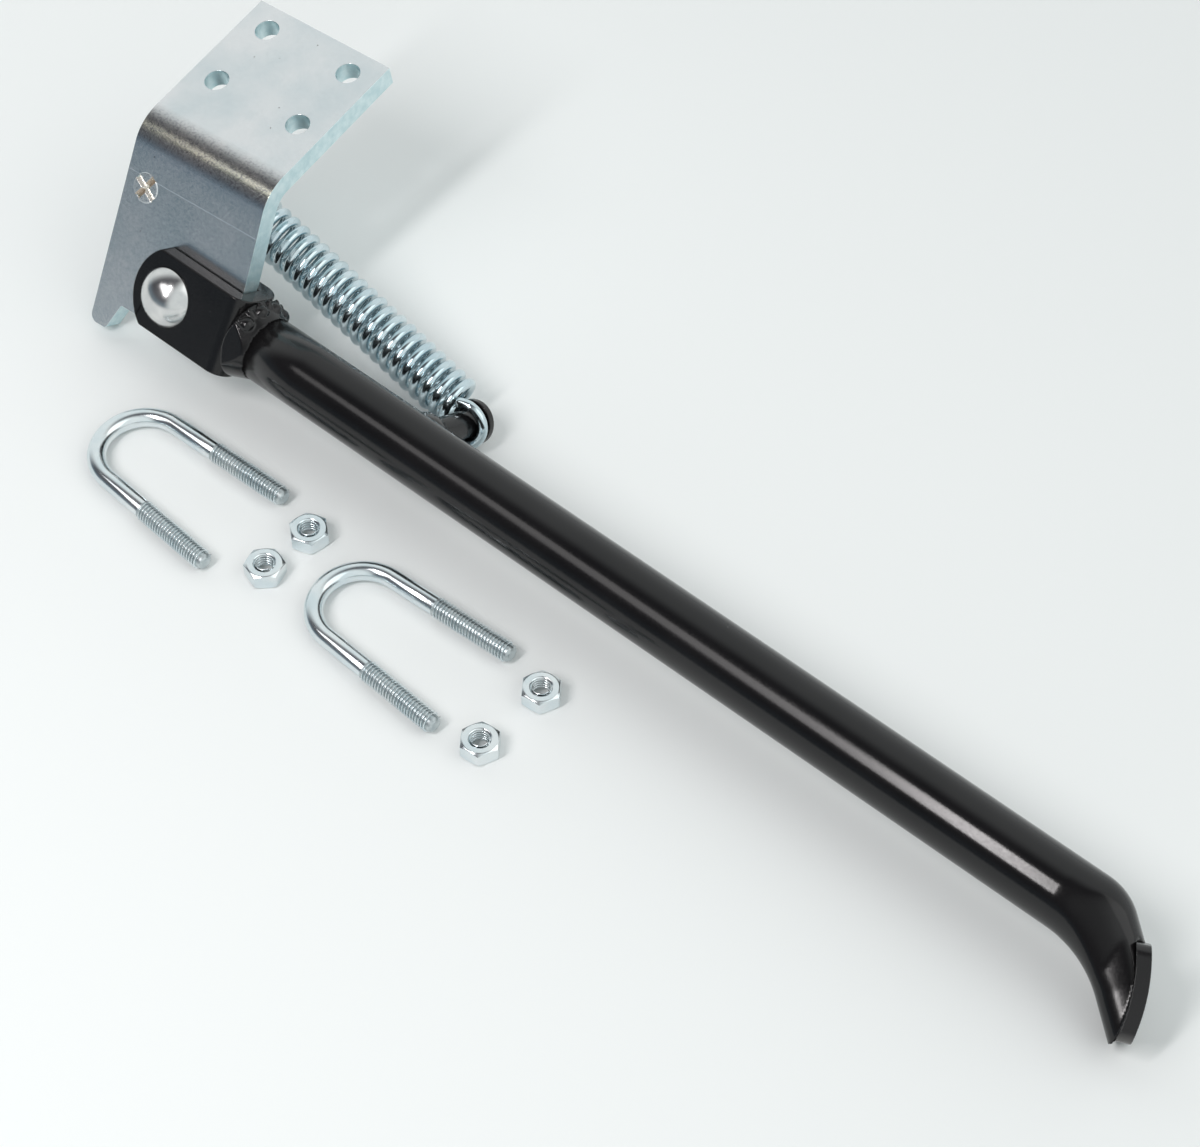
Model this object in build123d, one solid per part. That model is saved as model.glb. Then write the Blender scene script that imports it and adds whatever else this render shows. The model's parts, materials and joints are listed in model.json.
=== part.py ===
from build123d import *
import os
from math import atan, cos, degrees, radians, sin, sqrt, tan

# A bolt-on motorcycle side stand with its fitting kit, laid on a flat surface
# with the leg folded.  Millimetres.
#
# Every piece of the stand is drawn in the bracket frame: the origin is the
# pivot centre, X runs along the bend line towards the foot, Y points to the
# spring side and Z climbs the upright flange.  Leg pieces are drawn in the leg
# frame (X along the leg, Z across it) and turned to the folded angle.

# ---- mounting bracket ----
plate_thickness = 6.0
bracket_width = 47.5
pivot_to_left_edge = 27.2
pivot_to_bend = 40.85
bend_angle = 51.0
bend_outer_radius = 13.0
top_flange_length = 51.6
hole_diameter = 7.0
hole_spacing_across = 30.0
hole_spacing_along = 21.6
edge_to_last_holes = 7.7
upright_bottom = 12.0
tab_bottom = 20.7
tab_corner_radius = 2.5
notch_radius = 0.8
stop_rise = 1.5

# ---- pivot and fork ----
pivot_diameter = 10.0
pivot_running_clearance = 0.05
fork_height = 24.0
strap_thickness = 5.0
strap_bend_radius = 5.5
fork_side_clearance = 0.3
pivot_to_web = 20.5
fork_end_radius = 15.5
fork_end_reach = 11.7
fork_corner_radius = 2.5
rivet_head_diameter = 17.3
rivet_head_height = 5.0
rivet_tail_diameter = 14.0
rivet_tail_height = 3.5
rivet_tail_chamfer = 0.8

# ---- leg ----
folded_angle = 3.75
swing_range = 108.0
stop_clearance = 0.1
tube_diameter = 19.0
tube_wall = 2.0
tube_bore_end = 292.0
toe_angle = 41.0
toe_inner_corner = 311.6
toe_inner_radius = 30.0
toe_outer_corner = 312.8
toe_outer_radius = 16.0
toe_straight = 11.6
toe_twist = 22.0
toe_width = 13.6
toe_flat_thickness = 12.0
toe_flat_start = 302.0
toe_flat_end = 319.0
weld_leg = 6.5
weld_side_height = 0.6
weld_bead_radius = 2.3
weld_bead_count = 4
weld_bead_step = 32.0
weld_bead_rise = 0.6

# ---- foot pad ----
pad_thickness = 3.7
pad_length = 24.2
pad_width = 16.0
pad_rocker_radius = 50.0
pad_lean = 21.0
pad_tilt = 14.0
pad_corner_radius = 3.0
pad_from_tip = 8.85
pad_rise = 4.7

# ---- spring and its posts ----
post_diameter = 8.0
post_head_diameter = 12.8
post_head_thickness = 2.5
post_head_chamfer = 0.5
upper_post_x = -19.7
upper_post_z = 23.6
upper_hook_plane = 19.7
lower_post_reach = 84.0
lower_post_rise = 1.6
lower_hook_plane = 24.8
post_weld_diameter = 13.0
post_weld_height = 3.0
stake_diameter = 8.8
stake_height = 0.3
stake_groove_width = 1.9
stake_turn = -32.0
spring_wire = 2.8
spring_outer_diameter = 15.4
spring_turns = 24
spring_roll = 7.0
hook_clearance = 0.2
hook_play = 2.0
hook_tilt = 9.0
hook_gap_angle = 50.0

# ---- loose fittings ----
bolt_blank_diameter = 5.3
bolt_thread_diameter = 5.9
bolt_inner_spacing = 25.65
bolt_leg_length = 41.0
bolt_leg_splay = 3.0
bolt_thread_length = 26.0
bolt_tip_chamfer = 0.6
nut_width = 10.0
nut_height = 5.0
nut_bore = 5.0
nut_chamfer_angle = 30.0

# ---- places of the loose fittings beside the stand, from under the pivot ----
first_bolt_x = 20.5
first_bolt_y = -39.3
second_bolt_x = 102.5
second_bolt_y = -39.8
first_nut_x = 73.2
first_nut_y = -46.3
second_nut_x = 74.1
second_nut_y = -30.0
third_nut_x = 154.7
third_nut_y = -51.6
fourth_nut_x = 156.1
fourth_nut_y = -29.1
bolt_turns = [-1.8, -0.6]
nut_turns = [44.0, 20.0, 6.0, 6.0]

# ---- search for the resting pose ----
resting_lean = 30.0
contact_steps = 48
contact_rounds = 12

# ---- worked out from the sizes above ----
half_plate = plate_thickness / 2
cheek_inner = half_plate + fork_side_clearance
cheek_outer = cheek_inner + strap_thickness
web_outer = pivot_to_web + strap_thickness
half_fork = fork_height / 2
tube_radius = tube_diameter / 2
post_radius = post_diameter / 2
coil_radius = (spring_outer_diameter - spring_wire) / 2
bracket_right = bracket_width - pivot_to_left_edge
bracket_centre = bracket_right - bracket_width / 2
top_of_everything = pivot_to_bend + top_flange_length
leg_turn = Rotation(0, folded_angle, 0)
bolt_places = [(first_bolt_x, first_bolt_y), (second_bolt_x, second_bolt_y)]
nut_places = [
    (first_nut_x, first_nut_y),
    (second_nut_x, second_nut_y),
    (third_nut_x, third_nut_y),
    (fourth_nut_x, fourth_nut_y),
]


def in_leg_frame(along, across, angle):
    """Bracket-frame (x, z) of a point on a leg that hangs at this angle below X."""
    down = radians(angle)
    return (
        along * cos(down) + across * sin(down),
        across * cos(down) - along * sin(down),
    )


# ---------------------------------------------------------------- bracket
def bracket_side_profile():
    """Bent plate seen along the bend line, drawn in the YZ plane."""
    lean = radians(bend_angle)
    up_flange = Vector(sin(lean), cos(lean))
    out_of_flange = Vector(-cos(lean), sin(lean))
    outer_corner = Vector(-half_plate, pivot_to_bend)
    inner_corner = outer_corner - out_of_flange * plate_thickness
    inner_corner = inner_corner + up_flange * (plate_thickness * tan(lean / 2))
    outer_tip = outer_corner + up_flange * top_flange_length
    inner_tip = outer_tip - out_of_flange * plate_thickness
    low = -2 * tab_bottom
    outer = FilletPolyline(
        (-half_plate, low), outer_corner, outer_tip, radius=bend_outer_radius
    )
    inner = FilletPolyline(
        inner_tip, inner_corner, (half_plate, low), radius=bend_outer_radius - plate_thickness
    )
    ends = Line(outer_tip, inner_tip) + Line((half_plate, low), (-half_plate, low))
    return make_face([*outer.edges(), *inner.edges(), *ends.edges()])


def bracket_front_outline():
    """Upright flange seen from the rivet side, with the stops that the leg meets."""
    full_swing = folded_angle + swing_range
    stop_across = -half_fork - stop_clearance
    arc_radius = pivot_to_web - stop_clearance
    drop = radians(full_swing)

    def on_tab_stop(z):
        along = (stop_across * cos(drop) - z) / sin(drop)
        return in_leg_frame(along, stop_across, full_swing)

    arc_start = (sqrt(arc_radius**2 - upright_bottom**2), -upright_bottom)
    arc_end = in_leg_frame(arc_radius, 0, folded_angle)
    flare_top = pivot_to_bend - bend_outer_radius * tan(radians(bend_angle / 2))
    stop_corner = in_leg_frame(arc_radius, half_fork + stop_rise, folded_angle)
    tab_side = FilletPolyline(
        (-pivot_to_left_edge, top_of_everything),
        (-pivot_to_left_edge, -tab_bottom),
        on_tab_stop(-tab_bottom),
        on_tab_stop(-upright_bottom),
        arc_start,
        radius=[tab_corner_radius, tab_corner_radius / 2, notch_radius],
    )
    arc = RadiusArc(arc_start, arc_end, -arc_radius)
    right = Polyline(
        arc_end,
        stop_corner,
        (bracket_right, flare_top),
        (bracket_right, top_of_everything),
        (-pivot_to_left_edge, top_of_everything),
    )
    return make_face([*tab_side.edges(), *arc.edges(), *right.edges()])


def flange_plane(x, from_bend):
    """Plane on the outer face of the top flange, from_bend up from the bend's corner."""
    lean = radians(bend_angle)
    origin = (x, -half_plate + from_bend * sin(lean), pivot_to_bend + from_bend * cos(lean))
    return Plane(origin=origin, x_dir=(1, 0, 0), z_dir=(0, -cos(lean), sin(lean)))


def mounting_hole_planes():
    last_row = top_flange_length - edge_to_last_holes
    rows = [last_row - hole_spacing_along, last_row]
    columns = [bracket_centre - hole_spacing_across / 2, bracket_centre + hole_spacing_across / 2]
    return [flange_plane(x, row) for row in rows for x in columns]


def mounting_bracket():
    bent = extrude(Plane.YZ * bracket_side_profile(), 2 * bracket_width, both=True)
    outline = extrude(Plane.XZ * bracket_front_outline(), 2 * top_of_everything, both=True)
    bracket = bent & outline
    for plane in mounting_hole_planes():
        bracket -= plane * Cylinder(hole_diameter / 2, 3 * plate_thickness)
    across = Rotation(90, 0, 0)
    bore = pivot_diameter / 2 + pivot_running_clearance
    bracket -= across * Cylinder(bore, 3 * plate_thickness)
    bracket -= Pos(upper_post_x, 0, upper_post_z) * across * Cylinder(post_radius, 3 * plate_thickness)
    return bracket


# ---------------------------------------------------------------- posts and rivet
def turned(profile_points):
    """Turned piece about the Y axis from (radius, y) points."""
    return revolve(make_face(Polyline(*profile_points, close=True)), Axis.Y)


def bracket_spring_post():
    hook_end = upper_hook_plane + spring_wire / 2 + hook_play
    tip = hook_end + post_head_thickness
    head = post_head_diameter / 2
    stake = stake_diameter / 2
    front = -half_plate
    post = turned([
        (0, front - stake_height),
        (stake - stake_height, front - stake_height),
        (stake, front),
        (post_radius, front),
        (post_radius, hook_end),
        (head, hook_end),
        (head, tip - post_head_chamfer),
        (head - post_head_chamfer, tip),
        (0, tip),
    ])
    side = stake_groove_width / sqrt(2)
    groove = Rotation(45, 0, 0) * Box(2 * stake_diameter, side, side)
    for turn in (stake_turn, stake_turn + 90):
        post -= Pos(0, front - stake_height, 0) * Rotation(0, -turn, 0) * groove
    return Pos(upper_post_x, 0, upper_post_z) * post


def leg_spring_post():
    hook_end = lower_hook_plane + spring_wire / 2 + hook_play
    tip = hook_end + post_head_thickness
    head = post_head_diameter / 2
    root = tube_radius - 2 * tube_wall
    post = turned([
        (0, root),
        (post_radius, root),
        (post_radius, hook_end),
        (head, hook_end),
        (head, tip - post_head_chamfer),
        (head - post_head_chamfer, tip),
        (0, tip),
    ])
    return Pos(lower_post_reach, 0, lower_post_rise) * post


def pivot_rivet():
    head = rivet_head_diameter / 2
    tail = rivet_tail_diameter / 2
    shank = pivot_diameter / 2
    dome = ThreePointArc(
        (0, -cheek_outer - rivet_head_height),
        dome_point(head / 2),
        (head, -cheek_outer),
    )
    rest = Polyline(
        (head, -cheek_outer),
        (shank, -cheek_outer),
        (shank, cheek_outer),
        (tail, cheek_outer),
        (tail, cheek_outer + rivet_tail_height - rivet_tail_chamfer),
        (tail - rivet_tail_chamfer, cheek_outer + rivet_tail_height),
        (0, cheek_outer + rivet_tail_height),
        (0, -cheek_outer - rivet_head_height),
    )
    return revolve(make_face([*dome.edges(), *rest.edges()]), Axis.Y)


def dome_point(radius):
    """(radius, y) on the rivet's spherical head."""
    head = rivet_head_diameter / 2
    sphere = (head**2 + rivet_head_height**2) / (2 * rivet_head_height)
    crown = -cheek_outer - rivet_head_height
    return (radius, crown + sphere - sqrt(sphere**2 - radius**2))


# ---------------------------------------------------------------- fork
def leg_fork():
    """Strap bent into a U: two cheeks beside the bracket and a web against the tube."""
    reach = 2 * web_outer
    to_left = (Align.MAX, Align.CENTER)
    outer = Pos(web_outer, 0) * Rectangle(reach, 2 * cheek_outer, align=to_left)
    corners = outer.vertices().group_by(Axis.X)[-1]
    outer = fillet(corners, strap_bend_radius)
    slot = Pos(pivot_to_web, 0) * Rectangle(reach, 2 * cheek_inner, align=to_left)
    strap = extrude(outer - slot, half_fork, both=True)
    shift = fork_end_radius - fork_end_reach
    side = Pos(shift, 0) * Circle(fork_end_radius)
    side += Pos(web_outer, 0) * Rectangle(2 * (web_outer - shift), 2 * fork_end_radius)
    side &= Rectangle(2 * reach, fork_height)
    corner = side.vertices().sort_by(Axis.X)[:2].sort_by(Axis.Y)[-1]
    side = fillet(corner, fork_corner_radius)
    strap &= extrude(Plane.XZ * side, 2 * cheek_outer, both=True)
    strap -= Rotation(90, 0, 0) * Cylinder(pivot_diameter / 2, 4 * cheek_outer)
    return strap


def fork_weld(fork, tube_envelope):
    """Fillet weld that runs round the tube's end and fills the strap's rounded corners."""
    fillet_profile = make_face(Polyline(
        (pivot_to_web + strap_bend_radius / 2, 0),
        (pivot_to_web + strap_bend_radius / 2, tube_radius),
        (web_outer, half_fork),
        (web_outer + weld_leg, tube_radius),
        (web_outer + weld_leg, 0),
        close=True,
    ))
    bead = revolve(fillet_profile, Axis.X)
    lump = Pos(web_outer + weld_bead_radius, 0, tube_radius + weld_bead_rise)
    lump *= Sphere(weld_bead_radius)
    for number in range(weld_bead_count):
        turn = (number - (weld_bead_count - 1) / 2) * weld_bead_step
        bead += Rotation(turn, 0, 0) * lump
    bead &= Box(3 * web_outer, 2 * (tube_radius + weld_side_height), 2 * fork_height)
    return bead - fork - tube_envelope


# ---------------------------------------------------------------- tube, toe and pad
def toe_outline():
    """Side view of the toe: the tube's two sides turned down at their own corners."""
    turn = radians(toe_angle)
    along = Vector(cos(turn), -sin(turn)) * 3 * tube_diameter
    inner_corner = Vector(toe_inner_corner, -tube_radius)
    outer_corner = Vector(toe_outer_corner, tube_radius)
    back = toe_inner_corner - 2 * toe_inner_radius
    inner = FilletPolyline(
        (back, -tube_radius), inner_corner, inner_corner + along, radius=toe_inner_radius
    )
    outer = FilletPolyline(
        outer_corner + along, outer_corner, (back, tube_radius), radius=toe_outer_radius
    )
    ends = Line(inner @ 1, outer @ 0) + Line(outer @ 1, inner @ 0)
    return make_face([*inner.edges(), *outer.edges(), *ends.edges()])


def toe_fan_centre():
    """Centre of the inner bend, where the planes of the toe's sections meet."""
    tangent = toe_inner_radius * tan(radians(toe_angle / 2))
    return Vector(toe_inner_corner - tangent, -tube_radius - toe_inner_radius)


def toe_sections():
    """Ellipses square to the inner bend, from the round tube to the narrower tip."""
    outline = toe_outline()
    centre = toe_fan_centre()
    count = 4
    sections = []
    for step in range(count + 1):
        turn = radians(toe_angle * step / count)
        ray = Line(centre, centre + Vector(sin(turn), cos(turn)) * 3 * toe_inner_radius)
        chord = (ray & outline).edges()[0]
        width = tube_diameter + (toe_width - tube_diameter) * step / count
        sections.append(toe_section(chord.center(), turn, chord.length, width))
    sections.append(toe_section(toe_end(), turn, chord.length, width))
    return sections


def toe_end():
    """Middle of the toe's far end, past the bend by the straight part."""
    turn = radians(toe_angle)
    centre = toe_fan_centre()
    ray = Line(centre, centre + Vector(sin(turn), cos(turn)) * 3 * toe_inner_radius)
    chord = (ray & toe_outline()).edges()[0]
    return chord.center() + Vector(cos(turn), -sin(turn)) * toe_straight


def toe_section(middle, turn, height, width):
    plane = Plane(
        origin=(middle.X, 0, middle.Y), x_dir=(0, 1, 0), z_dir=(cos(turn), 0, -sin(turn))
    )
    return plane * Ellipse(width / 2, height / 2)


def pad_plane():
    """X out of the tread at its middle, Y up along the pad, Z across it to the front."""
    turn = radians(toe_angle)
    back = Vector(cos(turn), -sin(turn)) * pad_from_tip
    outward = Vector(sin(turn), cos(turn)) * pad_rise
    middle = toe_end() - back + outward
    lean = radians(pad_lean)
    tilt = radians(pad_tilt)
    facing = Vector(cos(lean), 0, sin(lean)) * cos(tilt) + Vector(0, sin(tilt), 0)
    upward = Vector(-sin(lean), 0, cos(lean))
    return Plane(origin=(middle.X, 0, middle.Y), x_dir=facing, z_dir=facing.cross(upward))


def foot_pad():
    rocker = Pos(-pad_rocker_radius, 0)
    band = rocker * (Circle(pad_rocker_radius) - Circle(pad_rocker_radius - pad_thickness))
    band &= Rectangle(4 * pad_thickness, 2 * pad_length)
    plate = extrude(band, pad_width, both=True)
    rounded = fillet(Rectangle(pad_length, pad_width).vertices(), pad_corner_radius)
    plate &= extrude(Plane.YZ * rounded, pad_length, both=True)
    return pad_plane() * plate


def toe_flats():
    """Wedge and slab that the toe is pressed to, seen from above."""
    half_flat = toe_flat_thickness / 2
    outline = make_face(Polyline(
        (-1, -tube_radius),
        (toe_flat_start, -tube_radius),
        (toe_flat_end, -half_flat),
        (2 * toe_flat_end, -half_flat),
        (2 * toe_flat_end, half_flat),
        (toe_flat_end, half_flat),
        (toe_flat_start, tube_radius),
        (-1, tube_radius),
        close=True,
    ))
    return extrude(outline, 3 * tube_diameter, both=True)


def leg_tube(post):
    straight = toe_fan_centre().X - web_outer
    body = Pos(web_outer, 0, 0) * Rotation(0, 90, 0) * straight_bar(tube_radius, straight)
    toe = loft(toe_sections())
    toe &= toe_flats()
    beyond_pad = Rectangle(3 * tube_diameter, 3 * pad_length, align=(Align.MIN, Align.MAX))
    beyond_pad = Pos(-4 * pad_thickness, pad_length / 2) * beyond_pad
    beyond_pad -= Pos(-pad_rocker_radius, 0) * Circle(pad_rocker_radius - pad_thickness)
    toe -= pad_plane() * extrude(beyond_pad, 2 * tube_diameter, both=True)
    bore = Rotation(0, 90, 0) * straight_bar(tube_radius - tube_wall, tube_bore_end)
    return Rotation(-toe_twist, 0, 0) * (body + toe) - bore - post


def straight_bar(radius, length):
    return Cylinder(radius, length, align=(Align.CENTER, Align.CENTER, Align.MIN))


def post_weld(post, tube_envelope):
    wide = post_weld_diameter / 2
    ring = turned([
        (0, 0),
        (wide, 0),
        (wide, tube_radius - post_weld_height / 2),
        (post_radius, tube_radius + post_weld_height),
        (0, tube_radius + post_weld_height),
    ])
    ring = Pos(lower_post_reach, 0, lower_post_rise) * ring
    return ring - tube_envelope - post


# ---------------------------------------------------------------- return spring
def spring_frame():
    """Plane at the upper hook: X towards the lower hook, Y towards the coil's axis."""
    upper = Vector(upper_post_x, upper_hook_plane, upper_post_z)
    x, z = in_leg_frame(lower_post_reach, lower_post_rise, folded_angle)
    lower = Vector(x, lower_hook_plane, z)
    along = (lower - upper).normalized()
    up = along.cross(Vector(0, 1, 0)).normalized()
    side = up.cross(along)
    roll = radians(spring_roll)
    side = side * cos(roll) + up * sin(roll)
    return Plane(origin=upper, x_dir=along, z_dir=along.cross(side)), (lower - upper).length


def half_turn(pitch, side):
    """Half a coil about X, from the hook side round to the far side or back again."""
    slant = atan(pitch / 4 / coil_radius)
    reach = coil_radius / cos(slant)
    start = Pos(0, -side * reach) * Circle(spring_wire / 2)
    return Rotation(0, 0, -side * degrees(slant)) * revolve(start, Axis.X, 180)


def hook_loop():
    """Open loop in the XZ plane that leaves the coil at +X."""
    start = Pos(coil_radius, 0) * Circle(spring_wire / 2)
    return revolve(start, Axis.Y, 360 - hook_gap_angle)


def return_spring():
    """Extension spring whose end turns are bent out as loops at the coil's side."""
    plane, hook_distance = spring_frame()
    tilt = radians(hook_tilt)
    seat = coil_radius - spring_wire / 2 - post_radius - hook_clearance
    coil_start = seat + coil_radius * cos(tilt)
    coil_offset = coil_radius * (1 - sin(tilt))
    pitch = (hook_distance - 2 * coil_start) / spring_turns
    turns = []
    for half in range(2 * spring_turns):
        place = Pos(coil_start + (half + 0.5) * pitch / 2, coil_offset, 0)
        turns.append(place * half_turn(pitch, 1 if half % 2 == 0 else -1))
    flipped = Rotation(180, 0, 0) * hook_loop()
    upper = Pos(seat, 0, 0) * Rotation(0, 0, -hook_tilt) * flipped
    lower = Pos(hook_distance - seat, 0, 0) * Rotation(0, 0, 180 + hook_tilt) * hook_loop()
    return plane * (upper + turns + lower)


# ---------------------------------------------------------------- loose fittings
def u_bolt():
    """Legs along X and splayed, lying on the surface, origin at the bend's centre."""
    splay = radians(bolt_leg_splay)
    bend = bolt_inner_spacing / 2
    lie = bolt_thread_diameter / 2
    blank = Circle(bolt_blank_diameter / 2)
    sweep_angle = 180 - 2 * bolt_leg_splay
    arc = revolve(Plane.XZ * (Pos(bend, 0) * blank), Axis.Z, sweep_angle)
    bolt = Rotation(0, 0, 90 + bolt_leg_splay) * arc
    for side in (1, -1):
        start = (bend * sin(-splay), side * bend * cos(splay), 0)
        heading = (cos(splay), side * sin(splay), 0)
        leg_axis = Plane(origin=start, z_dir=heading)
        bolt += leg_axis * straight_bar(bolt_blank_diameter / 2, bolt_leg_length)
        threaded = straight_bar(bolt_thread_diameter / 2, bolt_thread_length)
        tip = threaded.edges().group_by(Axis.Z)[-1]
        threaded = chamfer(tip, bolt_tip_chamfer)
        bolt += leg_axis * Pos(0, 0, bolt_leg_length - bolt_thread_length) * threaded
    return Pos(0, 0, lie) * bolt


def nut():
    """Plain hexagon nut standing on the surface, corners chamfered on both faces."""
    body = extrude(RegularPolygon(nut_width / 2, 6, major_radius=False), nut_height)
    corner = nut_width / 2 / cos(radians(30))
    fall = (corner - nut_width / 2) * tan(radians(nut_chamfer_angle))
    flat = nut_width / 2
    envelope = make_face(Polyline(
        (0, 0),
        (flat, 0),
        (corner, fall),
        (corner, nut_height - fall),
        (flat, nut_height),
        (0, nut_height),
        close=True,
    ))
    body &= revolve(Plane.XZ * envelope, Axis.Z)
    return body - Cylinder(nut_bore / 2, 3 * nut_height)


# ---------------------------------------------------------------- resting pose
def edge_points(pieces):
    """Points along every edge of the pieces, close enough to find what touches the floor."""
    steps = contact_steps
    edges = [edge for piece in pieces for edge in piece.edges()]
    return [edge.position_at(i / steps) for edge in edges for i in range(steps)]


def floor_plane(tab, post_head, toe):
    """Surface that the stand lies on, touched by the bracket's tab, a post head and the toe."""
    groups = [edge_points(tab), edge_points(post_head), edge_points(toe)]
    lean = radians(resting_lean)
    up = Vector(0, -sin(lean), cos(lean))
    for _ in range(contact_rounds):
        low = [min(group, key=lambda point: point.dot(up)) for group in groups]
        up = (low[1] - low[0]).cross(low[2] - low[0]).normalized()
        if up.Z < 0:
            up = up * -1
    heading = Vector(cos(radians(folded_angle)), 0, -sin(radians(folded_angle)))
    heading = (heading - up * heading.dot(up)).normalized()
    height = low[0].dot(up)
    return Plane(origin=up * height, x_dir=heading, z_dir=up)


def stand_pieces():
    tube_envelope = straight_bar(tube_radius, tube_bore_end)
    tube_envelope = Pos(web_outer, 0, 0) * Rotation(0, 90, 0) * tube_envelope
    fork = leg_fork()
    post = leg_spring_post()
    leg = {
        "leg_fork": fork,
        "pivot_rivet": pivot_rivet(),
        "leg_tube": leg_tube(post),
        "fork_weld": fork_weld(fork, tube_envelope),
        "foot_pad": Rotation(-toe_twist, 0, 0) * foot_pad(),
        "leg_spring_post": post,
        "post_weld": post_weld(post, tube_envelope),
    }
    pieces = {name: leg_turn * piece for name, piece in leg.items()}
    pieces["mounting_bracket"] = mounting_bracket()
    pieces["bracket_spring_post"] = bracket_spring_post()
    pieces["return_spring"] = return_spring()
    return pieces


def kit_pieces():
    """All pieces on the surface, with the pivot above the origin."""
    stand = stand_pieces()
    toe = [stand["leg_tube"], stand["foot_pad"]]
    floor = floor_plane([stand["mounting_bracket"]], [stand["leg_spring_post"]], toe)
    laid = floor.location.inverse()
    kit = {name: laid * piece for name, piece in stand.items()}
    for number, (place, turn) in enumerate(zip(bolt_places, bolt_turns), start=1):
        kit[f"u_bolt_{number}"] = Pos(*place) * Rotation(0, 0, turn) * u_bolt()
    for number, (place, turn) in enumerate(zip(nut_places, nut_turns), start=1):
        kit[f"nut_{number}"] = Pos(*place) * Rotation(0, 0, turn) * nut()
    return kit


def base_centre(pieces):
    """Move that brings the middle of the whole kit's base to the origin."""
    boxes = [piece.bounding_box() for piece in pieces]
    middle_x = (min(box.min.X for box in boxes) + max(box.max.X for box in boxes)) / 2
    middle_y = (min(box.min.Y for box in boxes) + max(box.max.Y for box in boxes)) / 2
    return Pos(-middle_x, -middle_y, -min(box.min.Z for box in boxes))


def main():
    os.makedirs("parts", exist_ok=True)
    kit = kit_pieces()
    to_origin = base_centre(kit.values())
    for name, piece in kit.items():
        export_step(to_origin * piece, f"parts/{name}.step")


main()
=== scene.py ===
import json
import math

import bmesh
import bpy
from mathutils import Matrix, Vector


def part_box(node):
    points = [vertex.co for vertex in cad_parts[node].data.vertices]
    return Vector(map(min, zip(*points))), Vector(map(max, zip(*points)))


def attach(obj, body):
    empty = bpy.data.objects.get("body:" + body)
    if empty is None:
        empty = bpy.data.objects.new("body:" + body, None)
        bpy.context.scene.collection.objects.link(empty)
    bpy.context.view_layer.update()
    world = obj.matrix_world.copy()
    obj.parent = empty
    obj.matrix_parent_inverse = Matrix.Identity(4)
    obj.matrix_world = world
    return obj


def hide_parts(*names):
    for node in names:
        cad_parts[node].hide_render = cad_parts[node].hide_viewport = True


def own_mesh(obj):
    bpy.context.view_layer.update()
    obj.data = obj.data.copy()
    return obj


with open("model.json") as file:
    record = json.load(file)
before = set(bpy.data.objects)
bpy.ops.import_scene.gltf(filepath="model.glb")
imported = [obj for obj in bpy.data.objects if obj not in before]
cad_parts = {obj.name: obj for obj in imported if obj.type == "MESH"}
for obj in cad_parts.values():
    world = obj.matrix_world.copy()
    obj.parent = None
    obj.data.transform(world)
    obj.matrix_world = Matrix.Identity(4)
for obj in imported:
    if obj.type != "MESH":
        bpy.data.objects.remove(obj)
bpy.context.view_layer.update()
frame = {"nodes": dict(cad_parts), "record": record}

# ---------------------------------------------------------------- the stand's own axes
# The stand is laid on a table with its leg folded.  Everything on it is placed
# from the pivot: along the bracket's bend, out of the plate on the spring side,
# and up the upright flange.  Meshes are drawn in millimetres in these axes.
hinges = {joint["name"]: joint for joint in frame["record"]["behaviour"]["joints"]}
mounts = {mount["name"]: mount for mount in frame["record"]["mounts"]}
pivot = Vector(hinges["leg_swing"]["pos_m"])
spring_side = Vector(hinges["leg_swing"]["axis"]).normalized()
first_hole = Vector(mounts["bracket_hole_lower_left"]["pos_m"])
second_hole = Vector(mounts["bracket_hole_lower_right"]["pos_m"])
bend_line = (second_hole - first_hole).normalized()
climb = bend_line.cross(spring_side)
folded_angle = math.radians(3.75)


def axes_at(origin, x, y, z):
    """Millimetre axes at a point given in metres."""
    axes = Matrix((x, y, z)).transposed().to_4x4()
    axes.translation = origin
    return axes @ Matrix.Scale(0.001, 4)


bracket_axes = axes_at(pivot, bend_line, spring_side, climb)
leg_axes = bracket_axes @ Matrix.Rotation(folded_angle, 4, "Y")


# The lens is long, so that parallel edges stay nearly parallel.
def add_object(name, data):
    """Makes an object of its data and links it to the scene."""
    made = bpy.data.objects.new(name, data)
    bpy.context.scene.collection.objects.link(made)
    return made


camera_data = bpy.data.cameras.new("camera")
camera_data.sensor_width = 36
camera_data.lens = 99.1
camera_data.clip_end = 20
camera = add_object("camera", camera_data)
camera.location = (0.3342, -0.4058, 0.7064)
camera_roll = math.radians(0.31)
looking = Vector((-0.3881, 0.4637, -0.7965)).normalized()
level = looking.cross(Vector((0, 0, 1))).normalized()
right = level * math.cos(camera_roll) + level.cross(looking) * math.sin(camera_roll)
over = right.cross(looking)
camera.rotation_euler = Matrix((right, over, -looking)).transposed().to_euler()
bpy.context.scene.camera = camera


# ---------------------------------------------------------------- mounting bracket
# One 6 mm steel plate, blanked, drilled and bent, then zinc plated.  The sheared
# edges are bluer than the rolled faces, the bend is mottled where it was pressed
# and carries a painted reflection, bands of bluish and brownish shade with a
# pale yellow highlight line, and a scribed line runs across the upright flange.
def mesh_object(name, bm, material):
    """Makes an object of a finished bmesh."""
    mesh = bpy.data.meshes.new(name)
    bm.to_mesh(mesh)
    bm.free()
    mesh.materials.append(material)
    return add_object(name, mesh)


def place_piece(name, bm, material, body):
    """Makes a piece of a finished bmesh; it rides on a body."""
    piece = mesh_object(name, bm, material)
    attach(piece, body)
    return piece


def merged_solid(node):
    """A bmesh of a solid, with its loose triangles joined."""
    bm = bmesh.new()
    bm.from_mesh(frame["nodes"][node].data)
    bmesh.ops.remove_doubles(bm, verts=bm.verts, dist=0.000002)
    return bm


def round_edges(piece, width, segments, least_angle):
    """Rounds edges sharper than an angle in degrees, by a width in millimetres."""
    bevel = piece.modifiers.new("edges", "BEVEL")
    bevel.width = width / 1000
    bevel.segments = segments
    bevel.limit_method = "ANGLE"
    bevel.angle_limit = math.radians(least_angle)


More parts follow.
